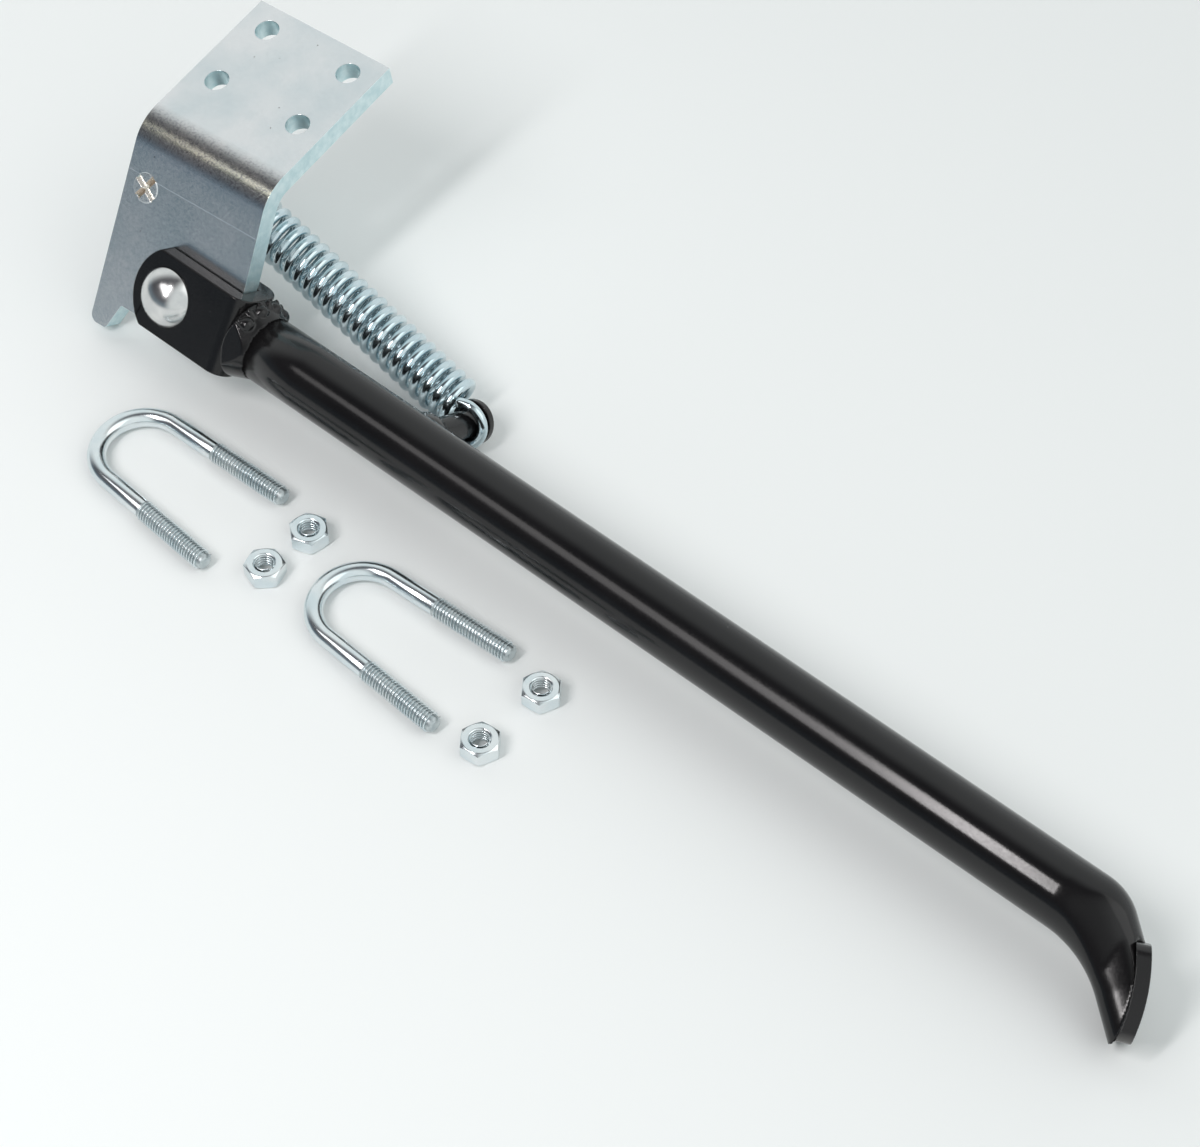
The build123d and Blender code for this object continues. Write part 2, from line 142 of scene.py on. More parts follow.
def copy_of_solid(node, name, material, body, edge):
    """A clean copy of a solid; its sharp edges are rounded by a width in millimetres."""
    bm = merged_solid(node)
    bmesh.ops.dissolve_limit(
        bm, angle_limit=math.radians(0.5), verts=bm.verts, edges=bm.edges
    )
    for face in bm.faces:
        face.smooth = True
    piece = place_piece(name, bm, material, body)
    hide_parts(node)
    round_edges(piece, edge, segments=3, least_angle=30)
    even = piece.modifiers.new("even faces", "WEIGHTED_NORMAL")
    even.weight = 100
    return piece


def new_material(name, metallic=0.0):
    """A node material, the node tree to wire it in, and its shader."""
    material = bpy.data.materials.new(name)
    material.use_nodes = True
    tree = material.node_tree
    shader = tree.nodes["Principled BSDF"]
    shader.inputs["Metallic"].default_value = metallic
    return material, tree, shader


def feed(tree, socket, value):
    """Sets a socket to a number or colour, or links another node's output to it."""
    if isinstance(value, (int, float, tuple)):
        socket.default_value = value
    else:
        tree.links.new(value, socket)


def math_node(tree, operation, *values):
    """The result of an operation; each value is a number or another node's output."""
    node = tree.nodes.new("ShaderNodeMath")
    node.operation = operation
    for socket, value in zip(node.inputs, values):
        feed(tree, socket, value)
    return node.outputs[0]


def mix_colour(tree, factor, below, above, blend="MIX"):
    """Mixes or multiplies two colours; each is a colour or another node's output."""
    node = tree.nodes.new("ShaderNodeMix")
    node.data_type = "RGBA"
    node.blend_type = blend
    feed(tree, node.inputs[0], factor)
    feed(tree, node.inputs[6], below)
    feed(tree, node.inputs[7], above)
    return node.outputs[2]


def map_range(tree, value, low, high, least=0.0, most=1.0, eased=False):
    """Takes a value's span from low to high to the span from least to most."""
    node = tree.nodes.new("ShaderNodeMapRange")
    if eased:
        node.interpolation_type = "SMOOTHSTEP"
    for name, given in (
        ("Value", value), ("From Min", low), ("From Max", high),
        ("To Min", least), ("To Max", most),
    ):
        feed(tree, node.inputs[name], given)
    return node.outputs["Result"]


def surface_point(tree):
    """The point of a piece's surface that is shaded, in metres."""
    return tree.nodes.new("ShaderNodeTexCoord").outputs["Object"]


def noise(tree, scale, detail, roughness=0.5):
    """Random cloud or grain over a piece's surface."""
    node = tree.nodes.new("ShaderNodeTexNoise")
    feed(tree, node.inputs["Vector"], surface_point(tree))
    feed(tree, node.inputs["Scale"], scale)
    feed(tree, node.inputs["Detail"], detail)
    feed(tree, node.inputs["Roughness"], roughness)
    return node.outputs["Fac"]


def colour_ramp(tree, value, stops):
    """Colours along a value, given as {position: colour}."""
    ramp = tree.nodes.new("ShaderNodeValToRGB")
    elements = ramp.color_ramp.elements
    while len(elements) < len(stops):
        elements.new(0.5)
    for element, (position, colour) in zip(elements, sorted(stops.items())):
        element.position = position
        element.color = (*colour, 1)
    feed(tree, ramp.inputs["Fac"], value)
    return ramp.outputs["Color"]


def own_place(tree, axes):
    """x, y and z of a surface point in millimetres in a piece's own axes."""
    turn = tree.nodes.new("ShaderNodeMapping")
    turn.vector_type = "TEXTURE"
    origin, rotation, scale = axes.decompose()
    turn.inputs["Location"].default_value = origin
    turn.inputs["Rotation"].default_value = rotation.to_euler()
    turn.inputs["Scale"].default_value = scale
    feed(tree, turn.inputs["Vector"], surface_point(tree))
    parts = tree.nodes.new("ShaderNodeSeparateXYZ")
    feed(tree, parts.inputs["Vector"], turn.outputs["Vector"])
    return parts.outputs["X"], parts.outputs["Y"], parts.outputs["Z"]


def new_group(name, inputs, outputs):
    """An empty shared effect with named sockets."""
    group = bpy.data.node_groups.new(name, "ShaderNodeTree")
    for way, sockets in (("INPUT", inputs), ("OUTPUT", outputs)):
        for socket, kind in sockets.items():
            group.interface.new_socket(
                name=socket, in_out=way, socket_type=f"NodeSocket{kind}"
            )
    return group, group.nodes.new("NodeGroupInput"), group.nodes.new("NodeGroupOutput")


def add_group(tree, group, **values):
    """Places a shared effect in a material and sets its inputs."""
    node = tree.nodes.new("ShaderNodeGroup")
    node.node_tree = group
    for name, value in values.items():
        feed(tree, node.inputs[name.replace("_", " ")], value)
    return node


def make_mottled_finish():
    """Cloudy variation between two colours, with fine grain in roughness and height."""
    group, given, out = new_group(
        "mottled_finish",
        {"Colour A": "Color", "Colour B": "Color", "Cloud Scale": "Float",
         "Grain Scale": "Float", "Rough Low": "Float", "Rough High": "Float"},
        {"Colour": "Color", "Roughness": "Float", "Height": "Float"},
    )
    cloud = noise(group, given.outputs["Cloud Scale"], detail=4)
    grain = noise(group, given.outputs["Grain Scale"], detail=6, roughness=0.65)
    colour = mix_colour(
        group, map_range(group, cloud, 0.35, 0.65),
        given.outputs["Colour A"], given.outputs["Colour B"],
    )
    rough = map_range(
        group, grain, 0.3, 0.7, given.outputs["Rough Low"], given.outputs["Rough High"]
    )
    feed(group, out.inputs["Colour"], colour)
    feed(group, out.inputs["Roughness"], rough)
    feed(group, out.inputs["Height"], grain)
    return group


def make_specks():
    """Sparse small marks, such as pin holes in plating or dust on paint."""
    unmarked_share = 0.8
    group, given, out = new_group(
        "specks", {"Scale": "Float", "Size": "Float"}, {"Mask": "Float"}
    )
    cells = group.nodes.new("ShaderNodeTexVoronoi")
    feed(group, cells.inputs["Vector"], surface_point(group))
    feed(group, cells.inputs["Scale"], given.outputs["Scale"])
    tint = group.nodes.new("ShaderNodeSeparateColor")
    feed(group, tint.inputs["Color"], cells.outputs["Color"])
    small = math_node(
        group, "LESS_THAN", cells.outputs["Distance"], given.outputs["Size"]
    )
    few = math_node(group, "GREATER_THAN", tint.outputs["Red"], unmarked_share)
    feed(group, out.inputs["Mask"], math_node(group, "MULTIPLY", small, few))
    return group


mottled_finish = make_mottled_finish()
specks = make_specks()


def coated_material(name, grain_strength, grain_depth=0.0001, metallic=1.0, **values):
    """A mottled material: itself, its node tree, its shader and its finish's colour."""
    material, tree, shader = new_material(name, metallic)
    finish = add_group(tree, mottled_finish, **values)
    bump = tree.nodes.new("ShaderNodeBump")
    bump.inputs["Strength"].default_value = grain_strength
    bump.inputs["Distance"].default_value = grain_depth
    feed(tree, bump.inputs["Height"], finish.outputs["Height"])
    feed(tree, shader.inputs["Base Color"], finish.outputs["Colour"])
    feed(tree, shader.inputs["Roughness"], finish.outputs["Roughness"])
    feed(tree, shader.inputs["Normal"], bump.outputs["Normal"])
    return material, tree, shader, finish.outputs["Colour"]


bend_centre_y = 10.0
bend_centre_z = 34.65
scribed_height = 26.5
scribe_half_width = 0.13
front_of_plate = -2.9

zinc_plate, tree, shader, colour = coated_material(
    "zinc_plate", 0.10,
    Colour_A=(0.66, 0.71, 0.73, 1), Colour_B=(0.78, 0.79, 0.80, 1),
    Cloud_Scale=60, Grain_Scale=1100, Rough_Low=0.17, Rough_High=0.27,
)
y, z = own_place(tree, bracket_axes)[1:]
bend_turn = math_node(
    tree, "ARCTAN2",
    math_node(tree, "SUBTRACT", z, bend_centre_z),
    math_node(tree, "SUBTRACT", bend_centre_y, y),
)
bend_share = map_range(tree, bend_turn, math.radians(-20), math.radians(70))
# Painted reflection across the bend: bluish shade, a pale yellow highlight line, then
# brownish shade, laid into the base colour.
bend_painted_reflection = colour_ramp(tree, bend_share, {
    0.00: (1.00, 1.00, 1.00), 0.20: (0.90, 0.91, 0.94), 0.30: (0.84, 0.86, 0.90),
    0.40: (0.98, 0.97, 0.92), 0.46: (0.98, 0.95, 0.78), 0.52: (0.94, 0.91, 0.76),
    0.60: (0.84, 0.80, 0.76), 0.68: (0.80, 0.77, 0.75), 0.76: (0.86, 0.84, 0.83),
    0.86: (1.00, 1.00, 1.00),
})
bend_area = colour_ramp(tree, bend_share, {
    0.18: (0, 0, 0), 0.34: (1, 1, 1), 0.66: (1, 1, 1), 0.84: (0, 0, 0),
})
bend_grain = map_range(tree, noise(tree, 1500, detail=2), 0.48, 0.66, most=0.6)
grain_colour = (0.38, 0.37, 0.40, 1)
# The dark grain is the bend's own mottle; the colour under it carries the painted
# reflection.
bend_grain_and_painted_reflection = mix_colour(
    tree, math_node(tree, "MULTIPLY", bend_grain, bend_area), bend_painted_reflection, grain_colour
)
grain_and_reflection_tinted = mix_colour(tree, 1.0, colour, bend_grain_and_painted_reflection, "MULTIPLY")
pits = add_group(tree, specks, Scale=330, Size=0.07)
pitted = mix_colour(tree, pits.outputs["Mask"], grain_and_reflection_tinted, (0.30, 0.29, 0.28, 1))
on_line = math_node(tree, "COMPARE", z, scribed_height, scribe_half_width)
in_front = math_node(tree, "LESS_THAN", y, front_of_plate)
scribed = math_node(tree, "MULTIPLY", on_line, in_front)
feed(
    tree, shader.inputs["Base Color"],
    mix_colour(tree, scribed, pitted, (1.0, 1.0, 1.0, 1)),
)

sheared_zinc = coated_material(
    "sheared_zinc", 0.20, grain_depth=0.0002,
    Colour_A=(0.56, 0.72, 0.75, 1), Colour_B=(0.70, 0.83, 0.85, 1),
    Cloud_Scale=400, Grain_Scale=1800, Rough_Low=0.38, Rough_High=0.52,
)[0]

plate = copy_of_solid(
    "mounting_bracket", "bracket_plate", zinc_plate, "bracket", 0.4
)
plate.data.materials.append(sheared_zinc)
upper_hole = Vector(mounts["bracket_hole_upper_left"]["pos_m"])
flange_rise = (upper_hole - first_hole).normalized()
mostly = 0.5
squarely = 0.8
for face in plate.data.polygons:
    sideways = abs(face.normal.dot(bend_line)) > mostly
    at_flange_end = face.normal.dot(flange_rise) > squarely
    at_foot = face.normal.dot(climb) < -mostly
    if sideways or at_flange_end or at_foot:
        face.material_index = 1

# ---------------------------------------------------------------- bracket spring post
# Headed steel post pressed through the plate.  Its end is staked with a
# cross-shaped punch that leaves bare bright metal in the grooves, painted lighter
# in one groove as a highlight and darker in the other as shade.
post_x = -19.7
post_height = 23.6
stake_turn = math.radians(32)
groove_half_width = 0.95
staked_end = -2.0
post_axes = (
    bracket_axes @ Matrix.Translation((post_x, 0, post_height))
    @ Matrix.Rotation(stake_turn, 4, "Y")
)
staked_steel, tree, shader, colour = coated_material(
    "staked_steel", 0.10,
    Colour_A=(0.60, 0.64, 0.66, 1), Colour_B=(0.72, 0.74, 0.75, 1),
    Cloud_Scale=300, Grain_Scale=2200, Rough_Low=0.22, Rough_High=0.36,
)
x, y, z = own_place(tree, post_axes)
at_end = math_node(tree, "LESS_THAN", y, staked_end)
# Both grooves are the same bare metal: one is painted darker as shade, the other lighter as
# a highlight.
groove_painted_shade = (0.52, 0.44, 0.36, 1)
groove_painted_highlight = (0.84, 0.81, 0.74, 1)
for across_groove, groove_with_painted_light in ((x, groove_painted_shade), (z, groove_painted_highlight)):
    in_groove = math_node(tree, "COMPARE", across_groove, 0.0, groove_half_width)
    colour = mix_colour(
        tree, math_node(tree, "MULTIPLY", in_groove, at_end), colour, groove_with_painted_light
    )
feed(tree, shader.inputs["Base Color"], colour)
copy_of_solid(
    "bracket_spring_post", "staked_post", staked_steel, "bracket", 0.15
)

# ---------------------------------------------------------------- fork
# A 5 mm strap bent into a U round the bracket and riveted through it, in the
# same satin black as the leg, with a little dust on it.
satin_black, tree, shader, colour = coated_material(
    "satin_black", 0.05, metallic=0.0,
    Colour_A=(0.0055, 0.0053, 0.0058, 1), Colour_B=(0.0085, 0.0080, 0.0085, 1),
    Cloud_Scale=50, Grain_Scale=1500, Rough_Low=0.13, Rough_High=0.20,
)
shader.inputs["Specular IOR Level"].default_value = 0.40
dust = add_group(tree, specks, Scale=200, Size=0.035)
feed(
    tree, shader.inputs["Base Color"],
    mix_colour(tree, dust.outputs["Mask"], colour, (0.10, 0.10, 0.10, 1)),
)
copy_of_solid("leg_fork", "fork_strap", satin_black, "leg", 0.7)


# ---------------------------------------------------------------- pivot rivet
# Turned steel rivet: a domed head on the outside and a formed tail behind.  It
# is tight in the fork and turns in the bracket.
def finish_mesh(name, bm, axes, material, body, merge=0.0005):
    """Makes a smooth piece of a bmesh drawn in millimetres in the given axes."""
    bmesh.ops.remove_doubles(bm, verts=bm.verts, dist=merge)
    bmesh.ops.transform(bm, matrix=axes, verts=bm.verts)
    bmesh.ops.recalc_face_normals(bm, faces=bm.faces)
    for face in bm.faces:
        face.smooth = True
    return place_piece(name, bm, material, body)


polished_head = coated_material(
    "polished_head", 0.02,
    Colour_A=(0.60, 0.61, 0.61, 1), Colour_B=(0.72, 0.72, 0.71, 1),
    Cloud_Scale=200, Grain_Scale=3000, Rough_Low=0.16, Rough_High=0.24,
)[0]
cheek_face = 8.3
shank_radius = 5.0
head_radius = 8.65
head_height = 5.0
tail_radius = 7.0
tail_corner = 0.8
tail_end = cheek_face + 3.5
dome_radius = (head_radius ** 2 + head_height ** 2) / (2 * head_height)
dome_sweep = math.asin(head_radius / dome_radius)
dome_steps = 20
rivet_profile = []
for step in range(dome_steps + 1):
    angle = dome_sweep * step / dome_steps
    rise = head_height - dome_radius * (1 - math.cos(angle))
    rivet_profile.append((dome_radius * math.sin(angle), -cheek_face - rise))
rivet_profile += [
    (shank_radius, -cheek_face), (shank_radius, cheek_face), (tail_radius, cheek_face),
    (tail_radius, tail_end - tail_corner), (tail_radius - 0.3, tail_end - 0.3),
    (tail_radius - tail_corner, tail_end), (0.0, tail_end),
]
bm = bmesh.new()
verts = [bm.verts.new((radius, along, 0)) for radius, along in rivet_profile]
edges = [bm.edges.new(pair) for pair in zip(verts, verts[1:])]
bmesh.ops.spin(
    bm, geom=verts + edges, cent=(0, 0, 0), axis=(0, 1, 0),
    angle=math.tau, steps=64, use_merge=True,
)
rivet = finish_mesh("rivet", bm, leg_axes, polished_head, "leg")
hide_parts("pivot_rivet")

# ---------------------------------------------------------------- leg tube
# 19 mm tube, welded to the fork.  Its foot end is pressed to flats on both
# sides, turned down round a 30 mm bend, and cut back to seat the foot pad.
tube_radius = 9.5
tube_start = 25.6
tube_sides = 72
plain_end = 296.0
plain_steps = 12
toe_steps = 60
end_corner = 0.8
end_edge = 0.3
toe_turn = math.radians(41)
toe_corner = 312.8
toe_inner_corner = 311.6
toe_bend_in = 30.0
toe_bend_out = 16.0
toe_straight = 11.6
toe_width = 13.6
toe_twist = math.radians(22)
fan_x = toe_inner_corner - toe_bend_in * math.tan(toe_turn / 2)
fan_z = -tube_radius - toe_bend_in
bend_end = fan_x + toe_turn * toe_bend_in
toe_end = bend_end + toe_straight
toe_axes = leg_axes @ Matrix.Rotation(-toe_twist, 4, "X")


def outer_reach(turn):
    """Distance from the bend's centre to the toe's outer side at a turn."""
    ray = Vector((math.sin(turn), math.cos(turn)))
    slope = Vector((math.sin(toe_turn), math.cos(toe_turn)))
    run = toe_bend_out * math.tan(toe_turn / 2)
    arc_middle = Vector((toe_corner - run - fan_x, tube_radius - toe_bend_out - fan_z))
    arc_end = arc_middle + slope * toe_bend_out
    if turn < math.atan2(arc_middle.x, arc_middle.y + toe_bend_out):
        return (tube_radius - fan_z) / math.cos(turn)
    if turn > math.atan2(arc_end.x, arc_end.y):
        corner = Vector((toe_corner - fan_x, tube_radius - fan_z))
        return corner.dot(slope) / ray.dot(slope)
    along = arc_middle.dot(ray)
    return along + math.sqrt(along ** 2 - arc_middle.length_squared + toe_bend_out ** 2)


def toe_section(station):
    """Middle, turn, half height and half width of the tube at a station along it."""
    if station <= fan_x:
        return Vector((station, 0, 0)), 0.0, tube_radius, tube_radius
    turn = min((station - fan_x) / toe_bend_in, toe_turn)
    ray = Vector((math.sin(turn), 0, math.cos(turn)))
    half_height = (outer_reach(turn) - toe_bend_in) / 2
    middle = Vector((fan_x, 0, fan_z)) + ray * (toe_bend_in + half_height)
    beyond = max(station - bend_end, 0.0)
    middle += Vector((math.cos(turn), 0, -math.sin(turn))) * beyond
    half_width = tube_radius + (toe_width / 2 - tube_radius) * turn / toe_turn
    return middle, turn, half_height, half_width


def soft_least(value, limit, softness):
    """The lesser of two lengths, with the corner between them rounded."""
    gap = max(softness - abs(value - limit), 0.0)
    return min(value, limit) - gap ** 2 / (4 * softness)


def spaced(first, last, steps):
    """Even stations after the first, up to the last."""
    return [first + (last - first) * step / steps for step in range(1, steps + 1)]


def extrude_ring(bm, edges):
    """Extrudes a ring of edges, and gives the new ring's corners and edges."""
    grown = bmesh.ops.extrude_edge_only(bm, edges=edges)["geom"]
    ring = [item for item in grown if isinstance(item, bmesh.types.BMVert)]
    edges = [
        item for item in grown
        if isinstance(item, bmesh.types.BMEdge) and all(vert in ring for vert in item.verts)
    ]
    return ring, edges


stations = [tube_start, *spaced(tube_start, plain_end, plain_steps)]
stations += spaced(plain_end, toe_end - end_corner, toe_steps)
stations += [toe_end - end_edge, toe_end]
bm = bmesh.new()
ring = bmesh.ops.create_circle(
    bm, cap_ends=True, radius=1.0, segments=tube_sides
)["verts"]
bmesh.ops.transform(bm, matrix=Matrix.Rotation(math.pi / 2, 4, "Y"), verts=ring)
bmesh.ops.translate(bm, vec=(tube_start, 0, 0), verts=ring)
edges = bm.edges[:]
for before, station in zip(stations, stations[1:]):
    ring, edges = extrude_ring(bm, edges)
    bmesh.ops.translate(bm, vec=(station - before, 0, 0), verts=ring)
bmesh.ops.contextual_create(bm, geom=edges)

# the pad's own axes: out of the tread, up along the pad, and across it
pad_lean = math.radians(21)
pad_tilt = math.radians(14)
pad_length = 24.2
pad_inner_radius = 46.3
pad_rocker_radius = 50.0
facing = Vector((
    math.cos(pad_lean) * math.cos(pad_tilt), math.sin(pad_tilt),
    math.sin(pad_lean) * math.cos(pad_tilt),
))
pad_up = Vector((-math.sin(pad_lean), 0, math.cos(pad_lean)))
pad_middle = Vector((330.18, 0, -9.41))

# each point of the plain tube goes to its place on the pressed and turned toe
flat_start = 302.0
flat_end = 319.0
half_flat = 6.0
crease_start = 0.3
crease_growth = 2.1
end_shrink = 0.94
for vert in bm.verts:
    station = vert.co.x
    middle, turn, half_height, half_width = toe_section(station)
    shrink = end_shrink if station >= toe_end else 1.0
    side = vert.co.y * half_width * shrink
    rise = vert.co.z * half_height * shrink
    point = middle + Vector((math.sin(turn) * rise, 0, math.cos(turn) * rise))
    share = min(max((point.x - flat_start) / (flat_end - flat_start), 0.0), 1.0)
    if share > 0:
        limit = tube_radius + (half_flat - tube_radius) * share
        crease = crease_start + crease_growth * share
        side = math.copysign(soft_least(abs(side), limit, crease), side)
    point.y = side
    from_pad = point - pad_middle
    up_pad = from_pad.dot(pad_up)
    if -pad_length < up_pad < pad_length / 2:
        seat = math.sqrt(pad_inner_radius ** 2 - up_pad ** 2) - pad_rocker_radius
        point -= facing * max(from_pad.dot(facing) - seat, 0.0)
    vert.co = point
tube = finish_mesh("tube", bm, toe_axes, satin_black, "leg")
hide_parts("leg_tube")

# ---------------------------------------------------------------- fork weld
# A fillet weld laid round the tube's end in short overlapping runs, so that it
# shows as finger-like lumps where it fills the corner above the tube.
web_outer = 25.5
lump_inset = 1.7
lump_swell = 0.4
lump_lift = 0.3
lump_size = (1.25, 1.25, 3.4)
bm = merged_solid("fork_weld")
for turn, slope, out in (
    (-62, 40, 1.0), (-40, 34, 1.3), (-22, 30, 1.6), (-4, 34, 1.5), (14, 30, 1.7),
    (32, 36, 1.4), (52, 32, 1.1),
):
    along = web_outer + lump_inset + lump_swell * out
    lump_place = (
        leg_axes @ Matrix.Rotation(math.radians(turn), 4, "X")
        @ Matrix.Translation((along, 0, tube_radius + lump_lift * out))
        @ Matrix.Rotation(math.radians(-slope), 4, "Y")
        @ Matrix.Diagonal((*lump_size, 1))
    )
    bmesh.ops.create_icosphere(bm, subdivisions=3, radius=1.0, matrix=lump_place)
weld = place_piece("fork_bead", bm, satin_black, "leg")
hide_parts("fork_weld")
melt = weld.modifiers.new("melt", "REMESH")
melt.mode = "VOXEL"
melt.voxel_size = 0.00022
melt.use_smooth_shade = True
flow = weld.modifiers.new("flow", "SMOOTH")
flow.factor = 0.5
flow.iterations = 4

# ---------------------------------------------------------------- leg spring post
# Headed post set in the tube, with a small weld collar at its root.  The
# spring's lower loop hooks over it.
for node, name, width in (
    ("post_weld", "post_collar", 0.5), ("leg_spring_post", "leg_post", 0.3),
):
    copy_of_solid(node, name, satin_black, "leg", width)

# ---------------------------------------------------------------- foot pad
# Curved steel pad welded across the end of the toe.  The paint has worn thin at
# its lower tip, where the stand meets the ground.
wear_start = -9.5
wear_end = -12.5
pad_axes = toe_axes @ Matrix.Translation(pad_middle) @ Matrix(
    (facing, pad_up, facing.cross(pad_up))
).transposed().to_4x4()
worn_black, tree, shader, colour = coated_material(
    "worn_black", 0.05, metallic=0.0,
    Colour_A=(0.0085, 0.0080, 0.0085, 1), Colour_B=(0.013, 0.012, 0.0125, 1),
    Cloud_Scale=50, Grain_Scale=1500, Rough_Low=0.16, Rough_High=0.26,
)
shader.inputs["Specular IOR Level"].default_value = 0.5
wear = map_range(tree, own_place(tree, pad_axes)[1], wear_start, wear_end)
feed(
    tree, shader.inputs["Base Color"],
    mix_colour(tree, wear, colour, (0.12, 0.115, 0.11, 1)),
)
copy_of_solid("foot_pad", "rocker_pad", worn_black, "leg", 0.6)

# ---------------------------------------------------------------- U-bolts
# Two U-bolts bent from round bar, with rolled M6 threads, plated in bright zinc
# that is rougher in the thread's roots, where its colour is painted darker as shade.
# They lie loose, as supplied.
bright_zinc = coated_material(
    "bright_zinc", 0.03,
    Colour_A=(0.68, 0.76, 0.79, 1), Colour_B=(0.80, 0.84, 0.85, 1),
    Cloud_Scale=120, Grain_Scale=2500, Rough_Low=0.14, Rough_High=0.24,
)[0]
# The roots' zinc is rougher, and its colour is painted darker as shade in the recess.
thread_root_with_painted_shade = coated_material(
    "thread_root_with_painted_shade", 0.05,
    Colour_A=(0.42, 0.48, 0.50, 1), Colour_B=(0.56, 0.61, 0.62, 1),
    Cloud_Scale=300, Grain_Scale=2500, Rough_Low=0.30, Rough_High=0.42,
)[0]


def repeat_turn(bm, turns, step):
    """Repeats one turn of a winding, each copy moved on by a step, and joins them."""
    turn = bm.verts[:] + bm.edges[:] + bm.faces[:]
    for count in range(1, turns):
        made = bmesh.ops.duplicate(bm, geom=turn)["geom"]
        moved = [item for item in made if isinstance(item, bmesh.types.BMVert)]
        bmesh.ops.translate(bm, vec=step * count, verts=moved)
    bmesh.ops.remove_doubles(bm, verts=bm.verts, dist=0.002)


def join_into(bm, part, place):
    """Adds a finished part to a larger mesh, at its place."""
    bmesh.ops.transform(part, matrix=place, verts=part.verts)
    mesh = bpy.data.meshes.new("part")
    part.to_mesh(mesh)
    part.free()
    bm.from_mesh(mesh)
    bpy.data.meshes.remove(mesh)


thread_pitch = 1.0
thread_steps = 28


def add_thread(bm, place, turns, ridge):
    """Winds a closed ridge, given as (radius, rise) points, up the local Z axis."""
    part = bmesh.new()
    verts = [part.verts.new((radius, 0, rise)) for radius, rise in ridge]
    edges = [part.edges.new(pair) for pair in zip(verts, verts[1:] + verts[:1])]
    bmesh.ops.spin(
        part, geom=verts + edges, cent=(0, 0, 0), axis=(0, 0, 1),
        dvec=(0, 0, thread_pitch / thread_steps), angle=math.tau, steps=thread_steps,
    )
    repeat_turn(part, turns, Vector((0, 0, thread_pitch)))
    rims = [edge for edge in part.edges if edge.is_boundary]
    bmesh.ops.holes_fill(part, edges=rims)
    join_into(bm, part, place)


blank_radius = 2.65
core_radius = 2.40
thread_radius = 2.95
rolled_ridge = [(2.3, 0.16), (2.90, 0.44), (2.95, 0.5), (2.90, 0.56), (2.3, 0.84)]
bolt_spacing = 25.65
bolt_leg = 41.0
bolt_thread = 26.0
bolt_plain = bolt_leg - bolt_thread
bolt_splay = math.radians(3)
bolt_turns = (-1.8, -0.6)
thread_start = bolt_plain + 0.1
thread_turns = int(bolt_thread / thread_pitch) - 2
leg_shape = [
    (bolt_plain, blank_radius), (bolt_plain + 0.5, core_radius),
    (bolt_leg - 1.1, core_radius), (bolt_leg - 0.5, 2.15), (bolt_leg - 0.12, 1.7),
    (bolt_leg, 1.2),
]
arch_start = (
    Matrix.Rotation(math.pi / 2 + bolt_splay, 4, "Z")
    @ Matrix.Translation((bolt_spacing / 2, 0, 0)) @ Matrix.Rotation(math.pi / 2, 4, "X")
)

for number, degrees in enumerate(bolt_turns, 1):
    turn = math.radians(degrees)
    heading = Vector((math.cos(turn), math.sin(turn), 0))
    across = Vector((-math.sin(turn), math.cos(turn), 0))
    points = [vert.co for vert in frame["nodes"][f"u_bolt_{number}"].data.vertices]
    back = min(point.dot(heading) for point in points) * 1000
    sides = [point.dot(across) * 1000 for point in points]
    centre_along = back + bolt_spacing / 2 + blank_radius
    centre_across = (min(sides) + max(sides)) / 2
    middle = (heading * centre_along + across * centre_across) / 1000
    middle.z = thread_radius / 1000
    bolt_axes = axes_at(middle, heading, across, Vector((0, 0, 1)))
    bm = bmesh.new()
    ring = bmesh.ops.create_circle(bm, radius=blank_radius, segments=32)["verts"]
    bmesh.ops.transform(bm, matrix=arch_start, verts=ring)
    bmesh.ops.spin(
        bm, geom=bm.verts[:] + bm.edges[:], cent=(0, 0, 0), axis=(0, 0, 1),
        angle=math.pi - 2 * bolt_splay, steps=48,
    )
    rims = [edge for edge in bm.edges if edge.is_boundary]
    for side in (1, -1):
        root = Vector((
            -bolt_spacing / 2 * math.sin(bolt_splay),
            side * bolt_spacing / 2 * math.cos(bolt_splay), 0,
        ))
        direction = Vector((math.cos(bolt_splay), side * math.sin(bolt_splay), 0))
        edges = [edge for edge in rims if edge.verts[0].co.y * side > 0]
        before, radius = 0.0, blank_radius
        for along, new_radius in leg_shape:
            ring, edges = extrude_ring(bm, edges)
            for vert in ring:
                spoke = vert.co - root - direction * before
                vert.co = root + direction * along + spoke * (new_radius / radius)
            # The thread's core takes the rougher root material with painted shade.
            if new_radius == core_radius:
                for edge in edges:
                    edge.smooth = False
                    for face in edge.link_faces:
                        face.material_index = 1
            before, radius = along, new_radius
        bmesh.ops.contextual_create(bm, geom=edges)
        thread_place = (
            Matrix.Translation(root)
            @ direction.to_track_quat("Z", "Y").to_matrix().to_4x4()
            @ Matrix.Translation((0, 0, thread_start))
        )
        add_thread(bm, thread_place, thread_turns, rolled_ridge)
    bolt = finish_mesh(
        f"bolt_{number}", bm, bolt_axes, bright_zinc, "bracket"
    )
    bolt.data.materials.append(thread_root_with_painted_shade)
    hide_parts(f"u_bolt_{number}")

# ---------------------------------------------------------------- nuts
# Four plain M6 hexagon nuts, chamfered on both faces and countersunk, with a
# cut thread inside.  They are plated as the U-bolts are, and lie loose too.
nut_flats = 10.0
nut_height = 5.0
nut_bore = 2.5
countersink = 3.15
countersink_depth = 0.6
nut_face = 4.65
chamfer_slope = 0.58
nut_sides = 72
corner_round = 0.14
cut_start = 0.55
cut_turns = 4
cut_ridge = [(2.6, 0.06), (2.33, 0.42), (2.33, 0.58), (2.6, 0.94)]
# radius and depth of each ring on one face, from the bore out to the hexagon
nut_rings = [(nut_bore, countersink_depth), (countersink, 0), (nut_face, 0), (None, 0)]


def hexagon_radius(angle):
    """Distance from a nut's axis to its side, at an angle from a corner."""
    from_flat = angle % (math.pi / 3) - math.pi / 6
    return nut_flats / 2 / math.cos(from_flat)


